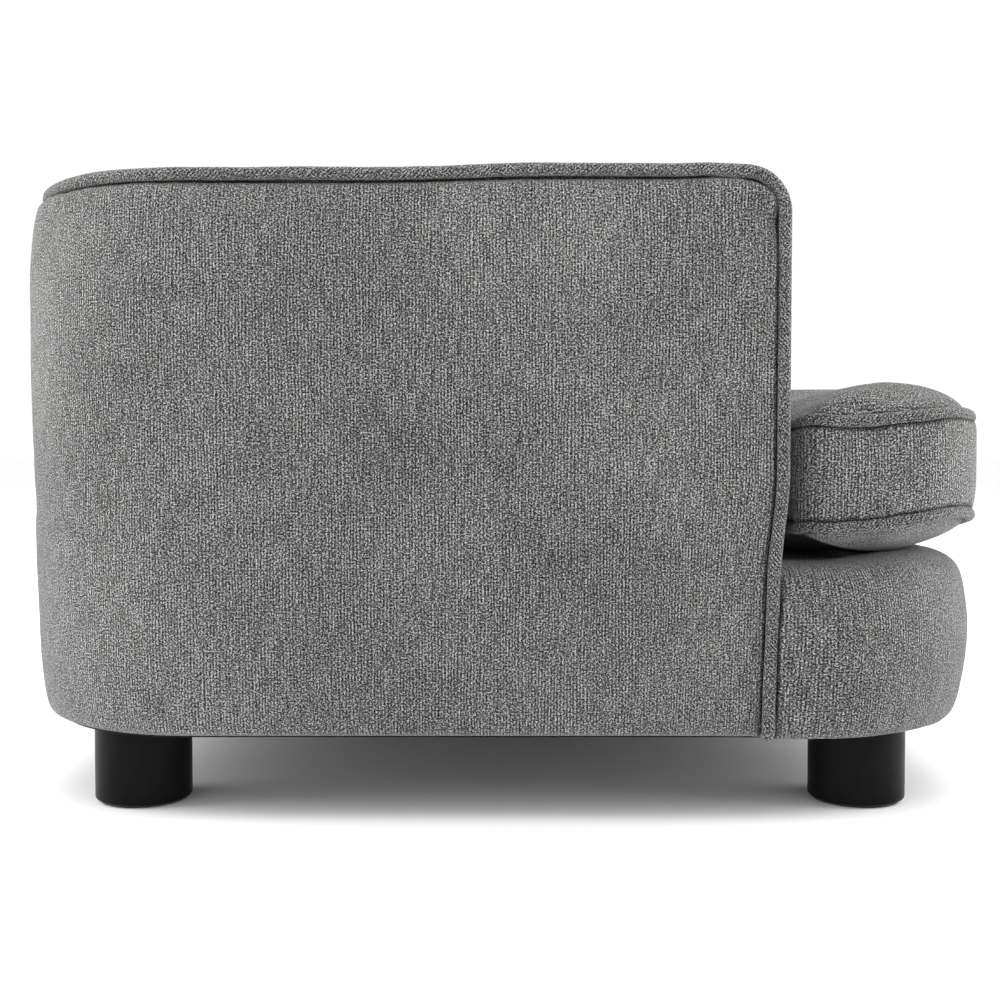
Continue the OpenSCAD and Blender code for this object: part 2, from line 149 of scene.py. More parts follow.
def waves(points, size, seed):
    """Smooth noise with features about size across, from -1 to 1, at each point."""
    shift = Vector((seed * 3.1, seed * 1.7, seed * 5.3))
    flat = points.reshape(-1, 3) / size
    return np.array([noise.noise(Vector(p) + shift) for p in flat]).reshape(points.shape[:-1])


def grid(p, uv, inside=None):
    """A grid's points, its faces, which look away from the point inside, and their corners' weave."""
    nu, nv = p.shape[:2]
    i = np.arange(nu - 1)[:, None] * nv + np.arange(nv - 1)[None, :]
    f = np.stack([i, i + nv, i + nv + 1, i + 1], axis=-1).reshape(-1, 4)
    flat = p.reshape(-1, 3)
    corner = flat[f]
    normal = np.cross(corner[:, 2] - corner[:, 0], corner[:, 3] - corner[:, 1])
    if inside is None or (normal * (corner.mean(axis=1) - inside)).sum() < 0:
        f = f[:, ::-1]
    return flat, f, uv.reshape(-1, 2)[f]


def piece_from(name, parts, material):
    """A smooth mesh object from grids or other parts. Shared edges are welded."""
    points, faces, weave = [], [], []
    first = 0
    for flat, f, uv in parts:
        points += [tuple(q) for q in flat]
        faces += [tuple(int(k) + first for k in row) for row in f]
        weave.append(np.asarray(uv, np.float32).ravel())
        first += len(flat)
    mesh = bpy.data.meshes.new(name)
    mesh.from_pydata(points, [], faces)
    mesh.uv_layers.new(name="weave").data.foreach_set("uv", np.concatenate(weave))
    mesh.polygons.foreach_set("use_smooth", [True] * len(mesh.polygons))
    mesh.materials.append(material)
    mesh.update()
    piece = bpy.data.objects.new(name, mesh)
    scene.collection.objects.link(piece)
    b = bmesh.new()
    b.from_mesh(mesh)
    bmesh.ops.remove_doubles(b, verts=b.verts, dist=0.05 * MM)
    bmesh.ops.dissolve_degenerate(b, edges=b.edges, dist=0.01 * MM)
    bmesh.ops.delete(b, geom=[v for v in b.verts if not v.link_faces], context="VERTS")
    b.to_mesh(mesh)
    b.free()
    return piece


def tube(name, line, radius, sides, material, closed=False):
    """A round cord along a line. Its weave runs on the bias."""
    line = np.array(line)
    if closed:
        tangent = np.roll(line, -1, axis=0) - np.roll(line, 1, axis=0)
    else:
        tangent = np.gradient(line, axis=0)
    tangent /= np.linalg.norm(tangent, axis=1)[:, None]
    radius = np.broadcast_to(radius, len(line))
    a = np.arange(sides + 1) / sides * 2 * math.pi
    side = np.array([0, 0, 1.0]) if abs(tangent[0][2]) < 0.7 else np.array([1.0, 0, 0])
    rings = []
    for k, t in enumerate(tangent):
        side = side - t * (side @ t)
        side /= np.linalg.norm(side)
        ring = np.cos(a)[:, None] * side + np.sin(a)[:, None] * np.cross(t, side)
        rings.append(line[k] + radius[k] * ring)
    p = np.array(rings)
    s = lengths(line)
    if closed:
        p = np.concatenate([p, p[:1]])
        s = np.append(s, s[-1] + np.linalg.norm(line[0] - line[-1]))
    around = a * CORD_R
    bias = np.stack([s[:, None] + around[None, :], s[:, None] - around[None, :]], axis=-1) * math.sqrt(0.5)
    piece = piece_from(name, [grid(p, bias)], material)
    if not closed:
        b = bmesh.new()
        b.from_mesh(piece.data)
        bmesh.ops.holes_fill(b, edges=[e for e in b.edges if e.is_boundary], sides=0)
        b.to_mesh(piece.data)
        b.free()
    return piece


def without_painted_seam_shade(piece):
    """Keeps the painted shade of the seams' crease off a piece, by setting its seam distance far from any
    cord.
    """
    far = [0.02] * len(piece.data.vertices)
    piece.data.attributes.new("seam", "FLOAT", "POINT").data.foreach_set("value", far)
    return piece


def coords(mesh):
    """The mesh's vertices, one row each."""
    flat = np.empty(len(mesh.vertices) * 3)
    mesh.vertices.foreach_get("co", flat)
    return flat.reshape(-1, 3)


def edge_points(piece):
    """Which vertices lie on a free edge of the mesh."""
    b = bmesh.new()
    b.from_mesh(piece.data)
    found = [v.index for v in b.verts if v.is_boundary]
    b.free()
    return found


def inflate(piece, held, limit, pressure=4.0, loose=0.012, frames=20):
    """Fills fabric by cloth simulation. The held vertices stay put and no other moves further than limit."""
    group = piece.vertex_groups.new(name="seams")
    group.add([int(k) for k in held], 1.0, "REPLACE")
    cloth = piece.modifiers.new("cloth", "CLOTH")
    cloth.settings.quality = 5
    cloth.settings.mass = 0.3
    cloth.settings.tension_stiffness = 15
    cloth.settings.compression_stiffness = 15
    cloth.settings.shear_stiffness = 5
    cloth.settings.bending_stiffness = 0.5
    cloth.settings.use_pressure = True
    cloth.settings.uniform_pressure_force = pressure
    cloth.settings.shrink_min = -loose
    cloth.settings.vertex_group_mass = "seams"
    cloth.settings.effector_weights.gravity = 0
    cloth.collision_settings.use_collision = False
    before = coords(piece.data)
    for frame_number in range(1, frames + 1):
        scene.frame_set(frame_number)
    seen = piece.evaluated_get(bpy.context.evaluated_depsgraph_get())
    moved = coords(seen.data) - before
    piece.modifiers.remove(cloth)
    far = np.linalg.norm(moved, axis=1)[:, None]
    moved *= limit * np.tanh(far / limit) / np.maximum(far, 1e-9)
    piece.data.vertices.foreach_set("co", (before + moved).ravel())
    piece.data.update()
    piece.vertex_groups.clear()
    scene.frame_set(1)
    return piece


def seamed(piece, *lines):
    """Stores how far each vertex is from the middle of the nearest cord, up to 20 mm. Close to a cord the
    fabric's colour is painted near-black, as shade in the crease.
    """
    tree = kdtree.KDTree(sum(len(line) for line in lines))
    for k, q in enumerate(np.concatenate(lines)):
        tree.insert(Vector(q), k)
    tree.balance()
    near = [min(tree.find(v.co)[2], 0.02) for v in piece.data.vertices]
    piece.data.attributes.new("seam", "FLOAT", "POINT").data.foreach_set("value", near)
    return piece


def finer(piece, thickness=SKIN):
    """One subdivision, then the cloth's thickness on the inside."""
    piece.modifiers.new("finer", "SUBSURF").render_levels = 1
    piece.modifiers["finer"].levels = 1
    solid = piece.modifiers.new("thickness", "SOLIDIFY")
    solid.thickness = thickness
    solid.offset = -1
    return piece


# ---------- materials ----------

class Nodes:
    """Short ways to add and link a material's nodes."""

    def __init__(self, name):
        self.material = bpy.data.materials.new(name)
        self.material.use_nodes = True
        self.tree = self.material.node_tree
        self.shader = self.tree.nodes["Principled BSDF"]

    def add(self, kind, **settings):
        node = self.tree.nodes.new(kind)
        for key, value in settings.items():
            setattr(node, key, value)
        return node

    def feed(self, socket, value):
        if isinstance(value, bpy.types.NodeSocket):
            self.tree.links.new(value, socket)
        else:
            socket.default_value = value

    def math(self, operation, *values):
        node = self.add("ShaderNodeMath", operation=operation)
        for socket, value in zip(node.inputs, values):
            self.feed(socket, value)
        return node.outputs[0]

    def vector(self, x, y, z=0.0):
        node = self.add("ShaderNodeCombineXYZ")
        for socket, value in zip(node.inputs, (x, y, z)):
            self.feed(socket, value)
        return node.outputs[0]

    def spot(self, u, v, across, along, layer=0.0):
        """A place in noise whose features are across wide and along long."""
        return self.vector(self.math("DIVIDE", u, across), self.math("DIVIDE", v, along), layer)

    def noise(self, vector, scale=1.0, detail=2.0, roughness=0.5):
        node = self.add("ShaderNodeTexNoise")
        self.feed(node.inputs["Vector"], vector)
        node.inputs["Scale"].default_value = scale
        node.inputs["Detail"].default_value = detail
        node.inputs["Roughness"].default_value = roughness
        return node.outputs["Fac"]

    def span(self, value, low, high, to_low=0.0, to_high=1.0):
        node = self.add("ShaderNodeMapRange", clamp=True)
        for socket, v in zip(node.inputs, (value, low, high, to_low, to_high)):
            self.feed(socket, v)
        return node.outputs[0]

    def ramp(self, value, stops):
        node = self.add("ShaderNodeValToRGB")
        self.feed(node.inputs[0], value)
        elements = node.color_ramp.elements
        while len(elements) < len(stops):
            elements.new(0.5)
        for element, (place, colour) in zip(elements, stops):
            element.position = place
            element.color = (*colour, 1)
        return node.outputs[0]

    def colour(self, value, *stops):
        self.feed(self.shader.inputs["Base Color"], self.ramp(value, stops))

    def greys(self, value, *stops):
        self.colour(value, *[(place, (grey, grey, grey)) for place, grey in stops])

    def dullness(self, value, low, high, at_low, at_high):
        self.feed(self.shader.inputs["Roughness"], self.span(value, low, high, at_low, at_high))

    def bump(self, height, distance, strength=1.0):
        node = self.add("ShaderNodeBump")
        self.feed(node.inputs["Height"], height)
        node.inputs["Distance"].default_value = distance
        node.inputs["Strength"].default_value = strength
        self.feed(self.shader.inputs["Normal"], node.outputs[0])

    def weave(self):
        """u and v of the weave, in metres."""
        node = self.add("ShaderNodeUVMap", uv_map="weave")
        split = self.add("ShaderNodeSeparateXYZ")
        self.feed(split.inputs[0], node.outputs[0])
        return split.outputs[0], split.outputs[1]

    def painted_seam_shade(self, colour):
        """Paints shade into the crease beside each cord: the base colour is mixed towards near-black close to
        the cord. The attribute seam is the distance to a cord's middle.
        """
        gap = self.add("ShaderNodeAttribute", attribute_name="seam").outputs["Fac"]
        mix = self.add("ShaderNodeMix", data_type="RGBA")
        self.feed(mix.inputs["Factor"], self.span(gap, CORD_R * 1.15, CORD_R * 1.75, 0.95, 0.0))
        self.feed(mix.inputs["A"], colour)
        # near-black of the painted shadow in the crease
        mix.inputs["B"].default_value = (0.004, 0.004, 0.004, 1)
        return mix.outputs["Result"]

    def place(self):
        return self.add("ShaderNodeTexCoord").outputs["Object"]

    def place_xyz(self):
        split = self.add("ShaderNodeSeparateXYZ")
        self.feed(split.inputs[0], self.place())
        return split.outputs


RIB = 1.95 * MM                     # width of the fabric's ribs


def chenille(name, shade, rib_depth=1.0):
    """Soft ribbed chenille: uneven cords of pile, broken into grains, with pale flecks, and painted shade in
    the creases beside the cords.
    """
    m = Nodes(name)
    u, v = m.weave()
    wander = m.noise(m.spot(u, v, 14 * MM, 60 * MM), detail=2)
    u2 = m.math("ADD", u, m.math("MULTIPLY", m.math("SUBTRACT", wander, 0.5), 3.6 * MM))
    rib = m.span(m.math("SINE", m.math("MULTIPLY", u2, 2 * math.pi / RIB)), -1.0, 1.0)
    where = m.noise(m.spot(u, v, 30 * MM, 40 * MM, 2.0), detail=3)
    streak = m.noise(m.spot(u2, v, RIB, 22 * MM), scale=1.2, detail=3)
    tuft = m.noise(m.spot(u2, v, RIB, 2.4 * MM, 4.0), scale=1.3, detail=2)
    grain = m.noise(m.spot(u, v, 1.05 * MM, 1.05 * MM, 9.0), detail=0)
    fine = m.noise(m.spot(u, v, 0.7 * MM, 0.75 * MM, 5.0), detail=0)
    height = m.math("MULTIPLY", m.math("SUBTRACT", rib, 0.5), m.span(where, 0.36, 0.62, 0.12, 0.40))
    layers = ((streak, 0.15, 0.20), (tuft, 0.17, 0.20), (grain, 0.16, 0.62), (fine, 0.16, 0.42))
    for layer, spread, share in layers:
        part = m.span(layer, 0.5 - spread, 0.5 + spread, -share / 2, share / 2)
        height = m.math("ADD", height, part)
    height = m.math("ADD", height, 0.5)
    worn = m.noise(m.place(), scale=7.0, detail=4, roughness=0.6)
    tone = m.math("ADD", height, m.span(worn, 0.3, 0.7, -0.07, 0.07))
    shades = [(0.0, 0.04), (0.25, 0.30), (0.5, 0.85), (0.75, 1.9), (1.0, 4.0)]
    pile = m.ramp(tone, [(at, (shade * k * 1.01, shade * k, shade * k * 0.99)) for at, k in shades])
    # the pile's colour gets painted shade in the creases beside the cords
    m.feed(m.shader.inputs["Base Color"], m.painted_seam_shade(pile))
    m.dullness(height, 0.1, 0.9, 1.0, 0.85)
    m.shader.inputs["Sheen Weight"].default_value = 0.34
    m.shader.inputs["Sheen Roughness"].default_value = 0.34
    m.shader.inputs["Sheen Tint"].default_value = (1.0, 0.98, 0.96, 1)
    m.shader.inputs["Specular IOR Level"].default_value = 0.12
    m.bump(height, 0.6 * MM * rib_depth, 0.9)
    return m.material


def timber(name, pale, dark, grain_size):
    """Sawn softwood: long grain along the X axis, with growth bands and pores."""
    m = Nodes(name)
    x, y, z = m.place_xyz()
    along = m.math("MULTIPLY", x, 2.0)
    stretched = m.vector(along, m.math("MULTIPLY", y, 9.0), m.math("MULTIPLY", z, 22.0))
    bend = m.noise(stretched, scale=1.6, detail=4)
    rings = m.math("FRACT", m.math("MULTIPLY", bend, grain_size))
    pores = m.noise(stretched, scale=26.0, detail=4, roughness=0.7)
    tone = m.math("ADD", m.math("MULTIPLY", rings, 0.6), m.math("MULTIPLY", pores, 0.4))
    m.colour(tone, (0.1, pale), (0.8, dark))
    m.dullness(pores, 0.2, 0.8, 0.55, 0.8)
    m.bump(tone, 0.2 * MM, 0.5)
    return m.material


def plywood(name):
    """Birch plywood: pale faces with a soft figure, and thin layers on the edges."""
    m = Nodes(name)
    x, y, z = m.place_xyz()
    figure = m.noise(m.vector(m.math("MULTIPLY", x, 3.0), m.math("MULTIPLY", y, 14.0),
                              m.math("MULTIPLY", z, 3.0)), scale=2.0, detail=5, roughness=0.6)
    layers = m.span(m.math("SINE", m.math("MULTIPLY", z, 2 * math.pi / (3 * MM))), -0.2, 0.2)
    tone = m.math("ADD", m.math("MULTIPLY", figure, 0.75), m.math("MULTIPLY", layers, 0.18))
    m.colour(tone, (0.2, (0.70, 0.53, 0.33)), (0.8, (0.42, 0.27, 0.14)))
    m.dullness(figure, 0.3, 0.7, 0.5, 0.7)
    m.bump(tone, 0.15 * MM, 0.4)
    return m.material


def satin_black(name):
    """Black moulded legs: a fine orange-peel texture with faint rubbed marks."""
    m = Nodes(name)
    peel = m.noise(m.place(), scale=900.0, detail=2)
    marks = m.noise(m.place(), scale=35.0, detail=5, roughness=0.7)
    m.greys(marks, (0.3, 0.002), (0.75, 0.006))
    m.dullness(marks, 0.3, 0.7, 0.30, 0.44)
    m.shader.inputs["Specular IOR Level"].default_value = 0.07
    m.bump(peel, 0.06 * MM, 0.5)
    return m.material


def felt(name, colour, fibre=700.0):
    """Pressed fibre, such as the glides under the legs."""
    m = Nodes(name)
    fuzz = m.noise(m.place(), scale=fibre, detail=4, roughness=0.7)
    dark = tuple(c * 0.45 for c in colour)
    m.colour(fuzz, (0.3, dark), (0.7, colour))
    m.dullness(fuzz, 0.2, 0.8, 0.85, 1.0)
    m.bump(fuzz, 0.3 * MM, 0.7)
    return m.material


def metal(name, colour, rough, scale):
    """Plated metal with fine brushing and dull patches."""
    m = Nodes(name)
    brushed = m.noise(m.place(), scale=scale, detail=4, roughness=0.65)
    dark = tuple(c * 0.6 for c in colour)
    m.colour(brushed, (0.25, dark), (0.7, colour))
    m.dullness(brushed, 0.2, 0.8, rough, rough + 0.2)
    m.shader.inputs["Metallic"].default_value = 1.0
    m.bump(brushed, 0.03 * MM, 0.4)
    return m.material


def spunbond(name):
    """Thin black non-woven cloth with its grid of pressed points."""
    m = Nodes(name)
    u, v = m.weave()
    turn = 2 * math.pi / (2.2 * MM)
    dots = m.math("MULTIPLY", *[m.math("SINE", m.math("MULTIPLY", w, turn)) for w in (u, v)])
    fibres = m.noise(m.spot(u, v, 1.1 * MM, 1.1 * MM), detail=5, roughness=0.7)
    height = m.math("SUBTRACT", fibres, m.math("MULTIPLY", m.span(dots, 0.3, 0.8), 0.6))
    m.colour(height, (0.1, (0.006, 0.006, 0.006)), (0.8, (0.03, 0.03, 0.031)))
    m.dullness(dots, 0.2, 0.8, 0.9, 0.6)
    m.bump(height, 0.15 * MM, 0.7)
    return m.material


def tape_weave(name):
    """Herringbone zip tape."""
    m = Nodes(name)
    u, v = m.weave()
    zig = m.math("PINGPONG", m.math("DIVIDE", v, 2 * MM), 1.0)
    rows = m.math("SINE", m.math("MULTIPLY", m.math("ADD", m.math("DIVIDE", u, 0.7 * MM), zig), 2 * math.pi))
    fuzz = m.noise(m.spot(u, v, 0.5 * MM, 0.5 * MM), detail=2)
    height = m.math("ADD", m.math("MULTIPLY", m.span(rows, -1, 1), 0.6), m.math("MULTIPLY", fuzz, 0.4))
    m.greys(height, (0.2, 0.04), (0.8, 0.12))
    m.dullness(fuzz, 0.3, 0.7, 0.75, 0.95)
    m.bump(height, 0.12 * MM, 0.8)
    return m.material


def nylon(name):
    """Slightly cloudy nylon."""
    m = Nodes(name)
    mist = m.noise(m.place(), scale=400.0, detail=3)
    m.greys(mist, (0.3, 0.08), (0.7, 0.15))
    m.dullness(mist, 0.3, 0.7, 0.3, 0.5)
    m.bump(mist, 0.03 * MM, 0.3)
    return m.material


FABRIC = chenille("chenille", 0.117)
PIPING = chenille("chenille_bias", 0.100, 0.8)
TIMBER = timber("softwood", (0.62, 0.44, 0.26), (0.42, 0.25, 0.12), 7.0)
PLY = plywood("birch_plywood")
LEG = satin_black("satin_black")
GLIDE = felt("grey_felt", (0.06, 0.06, 0.06))
ZINC = metal("zinc_plate", (0.62, 0.61, 0.58), 0.28, 900.0)
ZIP_METAL = metal("gunmetal", (0.30, 0.30, 0.31), 0.25, 1500.0)
DUST = spunbond("black_spunbond")
TAPE = tape_weave("zip_tape_weave")
NYLON = nylon("zip_nylon")


# ---------- upholstered body ----------

ARM_CX = -(HALF_W - REAR_R)         # middle of the rear left corner's curve
ARM_CY = REAR_Y - REAR_R
WELT_IN = 7 * MM                    # how far the cord is drawn in over the padding along the top
EDGE_IN = 4.5 * MM                  # inset of the covers' hidden edge under the cord, before that
OUTER_IN = EDGE_IN + WELT_IN
EDGE_R = REAR_R - OUTER_IN
MITRE = math.acos((ARM_CX + ARM_FACE + ARM_CY - BACK_FACE) / EDGE_R / math.sqrt(2)) - math.pi / 4
MITRE_DIP = 2.6 * MM
SEAT_Z = DECK_Z + 1.5 * MM


def front_shift(z):
    """How far back the arm's corded front edge is drawn at height z."""
    return 5.5 * MM * smooth((0.215 - z) / 0.07) + 2.5 * MM * smooth((0.15 - z) / 0.09)


def drawn_in(y, z):
    """Share of WELT_IN by which the cord is drawn in: none on the arms' front edges, all along their tops."""
    return smooth((z - 0.372) / 0.016) * smooth((y - ARM_FRONT - 0.02) / 0.05)


def corner_drop(y):
    """How far the corded edge has curved down at y, in front of the arms' straight tops."""
    bend = ARM_R - CORD_R
    left = np.clip(ARM_FRONT + ARM_R - y, 0, bend)
    return bend - np.sqrt(bend ** 2 - left ** 2)


def beside_corner(y, z):
    """1 where a point lies beside the cord's curved corner, falling to 0 within 7 mm of it."""
    before = np.clip(ARM_FRONT + ARM_R - y, 0, None)
    above = np.clip(z - TOP_Z + ARM_R, 0, None)
    gap = ARM_R - CORD_R - np.hypot(before, above)
    return (1 - smooth((gap - 0.003) / 0.004)) * (before > 0) * smooth(above / 0.004)


def top_rise(y):
    """How far the arms' tops rise in front of their middle."""
    return 2.4 * MM * smooth((0.08 - y) / 0.11) * smooth((y + 0.155) / 0.035)


def relief(p, n, amount=1.0, seed=1):
    """Slow hollows and small ripples of stretched fabric, along the normals n."""
    slow = 1.1 * MM * waves(p, 0.10, seed) + 0.5 * MM * waves(p, 0.04, seed + 5)
    return p + n * (amount * slow)[..., None]


def outer_cover():
    """One piece round the outside of both arms and the back, rolled under at the bottom."""
    x = HALF_W
    y = ARM_FRONT + CORD_R
    plan = fine_ends(route([(-x, y), (-x, REAR_Y), (x, REAR_Y), (x, y)], [0, REAR_R, REAR_R, 0]))
    out = normals_of(plan, 1)
    s = lengths(plan)
    section = spline([
        (-0.0240, BOTTOM_Z + 0.0003), (-0.0205, BOTTOM_Z + 0.0003), (-0.0172, BOTTOM_Z + 0.0016),
        (-0.0145, 0.0560), (-0.0122, 0.0635), (-0.0098, 0.076), (-0.0072, 0.092), (-0.0042, 0.125),
        (-0.0022, 0.165), (-0.0016, 0.215), (-0.0014, 0.240), (-0.0012, 0.280), (-0.0012, 0.320),
        (-0.0018, 0.350), (-0.0032, 0.366), (-0.0048, 0.378), (-0.0062, 0.3855), (-0.0080, 0.3888),
        (-0.0118, 0.3900), (-0.0145, 0.3915)], 0.0032)
    v = lengths(section)
    end = np.minimum(s, s[-1] - s)
    z = np.repeat(section[None, :, 1], len(s), axis=0)
    arc = REAR_R * math.pi / 4
    bent = bell(np.minimum(np.abs(s - (ARM_CY - y) - arc), np.abs(s[-1] - s - (ARM_CY - y) - arc)), 0.085)
    fuller = 0.5 * smooth((0.15 - z) / 0.08) * (1 - 0.5 * bent)[:, None]
    fuller *= smooth((z - BOTTOM_Z - 0.0006) / 0.004)
    tucked = smooth((z - 0.085) / 0.06) * 3.5 * MM + 1.5 * MM
    inset = section[None, :, 0] * (1 - fuller) - tucked * (1 - smooth((end - 0.003) / 0.004))[:, None]
    pucker = np.sin(2 * math.pi * s / 0.0155 + 3 * np.sin(s / 0.05))[:, None]
    inset = inset + 0.4 * MM * pucker * bell(z - 0.385, 0.012)
    drawn = drawn_in(plan[:, None, 1], z)
    inset = inset + WELT_IN * (smooth((z - 0.372) / 0.016) - drawn)
    p = np.concatenate([plan[:, None, :] + out[:, None, :] * inset[..., None], z[..., None]], axis=-1)
    p[..., 1] += front_shift(z) * (1 - smooth(end / 0.09))[:, None]
    p[..., 2] += top_rise(p[..., 1]) * smooth((z - 0.35) / 0.035)
    p[..., 2] -= corner_drop(plan[:, None, 1]) * smooth((z - 0.33) / 0.05)
    p[..., 0] *= 1 - 4 * MM / x * beside_corner(plan[:, None, 1], p[..., 2])
    n = np.concatenate([np.repeat(out[:, None, :], len(v), axis=1), np.zeros_like(z)[..., None]], axis=-1)
    p = relief(p, n, smooth((z - 0.06) / 0.03) * smooth((0.39 - z) / 0.02) * smooth(end / 0.02)[:, None])
    weave = np.stack(np.broadcast_arrays(s[:, None], v[None, :]), axis=-1)
    piece = piece_from("outer_cover", [grid(p, weave, (0, 0, 0.2))], FABRIC)
    finer(seamed(inflate(piece, edge_points(piece), 1 * MM), body_cord()))
    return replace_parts(piece, "outer_cover", "left_arm_side_pad", "right_arm_side_pad", "rear_corner_pads",
                       "back_outer_pad")


def body_cord():
    """Middle of the cord in the covers' edge."""
    x = HALF_W - CORD_R
    y = ARM_FRONT + CORD_R
    rear = REAR_Y - CORD_R
    top = TOP_Z - CORD_R
    low = BOTTOM_Z + CORD_R + 0.3 * MM
    bend = ARM_R - CORD_R
    corners = [(-x + 0.014, y, low), (-x, y, low), (-x, y, top), (-x, rear, top),
               (x, rear, top), (x, y, top), (x, y, low), (x - 0.014, y, low)]
    radii = [0, 5 * MM, bend, REAR_R - CORD_R, REAR_R - CORD_R, bend, 5 * MM, 0]
    line = route(corners, radii, 3 * MM)
    line[:, 1] += front_shift(line[:, 2])
    drawn = WELT_IN * drawn_in(line[:, 1], line[:, 2])
    line[:, 0] -= drawn * np.clip(line[:, 0] / -ARM_CX, -1, 1)
    line[:, 1] -= drawn * smooth((line[:, 1] - ARM_CY) / (REAR_R - CORD_R))
    rise = top_rise(line[:, 1]) + 0.6 * MM * waves(line, 0.05, 3)
    line[:, 2] += rise * smooth((line[:, 2] - 0.38) / 0.01)
    return line


def outer_welt():
    """The cord in the covers' edge, with its ends tucked under the base."""
    line = body_cord()
    thick = CORD_R * (0.98 + 0.06 * waves(line, 0.012, 8))
    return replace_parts(without_painted_seam_shade(tube("outer_welt", line, thick, 14, PIPING)), "outer_welt")


# Section over an arm or the back: distance from the inner face, then the height over the cord's
# top where the padding is low, and where it is crowned
OVER_TOP = [
    (0.0, -28.0, -28.0), (3.0, -15.5, -15.0), (10.0, -7.5, -5.0), (24.0, -2.5, 1.2), (40.0, -0.8, 3.6),
    (57.0, -1.2, 2.8), (69.0, -3.2, 0.0), (76.0, -5.6, -4.2), (80.5, -8.5, -8.5)]
TRUE_IN = 0.030                     # the section keeps its true width this far from the inner face
CLEAR_FROM = 0.5                    # the back's inside stays flat below this share, for the zip's pull


def section_over(width):
    """Distances, low heights and crowned heights across tops of these widths."""
    line = spline(np.array(OVER_TOP) * MM, 4.5 * MM)
    d = line[:, 0]
    share = (width[:, None] - TRUE_IN) / (d[-1] - TRUE_IN)
    return np.where(d < TRUE_IN, d, TRUE_IN + (d - TRUE_IN) * share), line[:, 1], line[:, 2]


def dipped(height, d, past):
    """Lets the mitred seam into a top. past is how far a point lies beyond the inner corner."""
    seam = np.where(past > -0.03, bell((d - past) * math.sqrt(0.5), 4 * MM), 0) * smooth(d / 0.01)
    return height - MITRE_DIP * seam, 1 - 0.8 * seam


def over_length(d, height):
    """Distance along the fabric from the inner face, across a top."""
    steps = np.hypot(np.diff(d, axis=1), np.diff(height, axis=1))
    return np.concatenate([np.zeros((len(d), 1)), np.cumsum(steps, axis=1)], axis=1)


def edges_fade(d, width):
    """1 over a top, falling to 0 at its two edges."""
    return smooth(d / 0.012) * smooth((width[:, None] - d) / 0.012)


def arm_cover(side, name):
    """Fabric over the front, the top and the inside of one arm, up to the mitred seam with the back."""
    profile = route([(ARM_FRONT, SEAT_Z - 0.012), (ARM_FRONT, TOP_Z), (ARM_CY, TOP_Z)], [0, ARM_R, 0], 5 * MM)
    count = len(profile)
    turns = np.linspace(0, MITRE, 17)[1:]
    drawn = WELT_IN * drawn_in(profile[:, 0], profile[:, 1])
    outer_x = np.concatenate([-HALF_W + EDGE_IN + drawn, ARM_CX - EDGE_R * np.cos(turns)])
    outer_y = np.concatenate([profile[:, 0], ARM_CY + EDGE_R * np.sin(turns)])
    start = ARM_FRONT + ARM_R
    slid = start + (profile[:, 0] - start) * (BACK_FACE - start) / (ARM_CY - start)
    inner_y = np.where(profile[:, 0] > start, slid, profile[:, 0])
    inner_y = np.concatenate([inner_y, np.full(len(turns), BACK_FACE)])
    z = np.concatenate([profile[:, 1], np.full(len(turns), TOP_Z)])
    lean = np.concatenate([normals_of(profile, 1), np.tile([0.0, 1.0], (len(turns), 1))])
    width = -ARM_FACE - outer_x
    d, low, high = section_over(width)
    y = inner_y[:, None] + (outer_y - inner_y)[:, None] * (d / width[:, None])
    crown = (0.05 + 0.95 * smooth((y + 0.10) / 0.14)) * smooth((z - TOP_Z + ARM_R) / ARM_R)[:, None]
    height, calm = dipped(low * (1 - crown) + high * crown, d, y - BACK_FACE)
    height *= 1 - 0.6 * smooth((0.26 - z) / 0.06)[:, None] * smooth((d - 0.04) / 0.03)
    p = np.stack([-ARM_FACE - d, y + lean[:, :1] * height, z[:, None] + lean[:, 1:] * height], axis=-1)
    p[..., 1] += front_shift(p[..., 2]) * smooth(d / 0.08)
    p[..., 2] += top_rise(y) * smooth((z - TOP_Z + ARM_R) / ARM_R)[:, None] * smooth(d / 0.02)
    n = np.stack([np.zeros_like(d), lean[:, :1] + 0 * d, lean[:, 1:] + 0 * d], axis=-1)
    p[..., 0] *= -side
    p = relief(p, n, 1.2 * edges_fade(d, width) * calm, 11)
    along = np.concatenate([lengths(profile), lengths(profile)[-1] + turns * EDGE_R])
    top_weave = np.stack(np.broadcast_arrays(over_length(d, height), along[:, None]), axis=-1)
    edge = p[:count, 0]
    across, upward = (np.unique(edge[:, k].round(7)) for k in (1, 2))
    face = np.stack(np.broadcast_arrays(edge[0, 0], across[:, None], upward[None, :]), axis=-1).copy()
    full = np.minimum(across[:, None] - across[0], across[-1] - across[:, None])
    full = smooth(np.minimum(full, upward[-1] - upward[None, :]) / 0.05)
    face[..., 0] -= side * full * (1.2 * MM + 0.6 * MM * waves(face, 0.08, 15))
    middle = (side * (ARM_FACE + 0.04), 0.02, 0.3)
    parts = [grid(p, top_weave, middle), grid(face, face[..., 1:] + 0.3, middle)]
    piece = piece_from(name + "_arm_cover", parts, FABRIC)
    finer(seamed(inflate(piece, edge_points(piece), 1.5 * MM), body_cord()))
    stood_for = [name + "_arm_cover", name + "_arm_inner_pad", name + "_arm_top_pad", "arm_front_pads"]
    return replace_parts(piece, *stood_for)


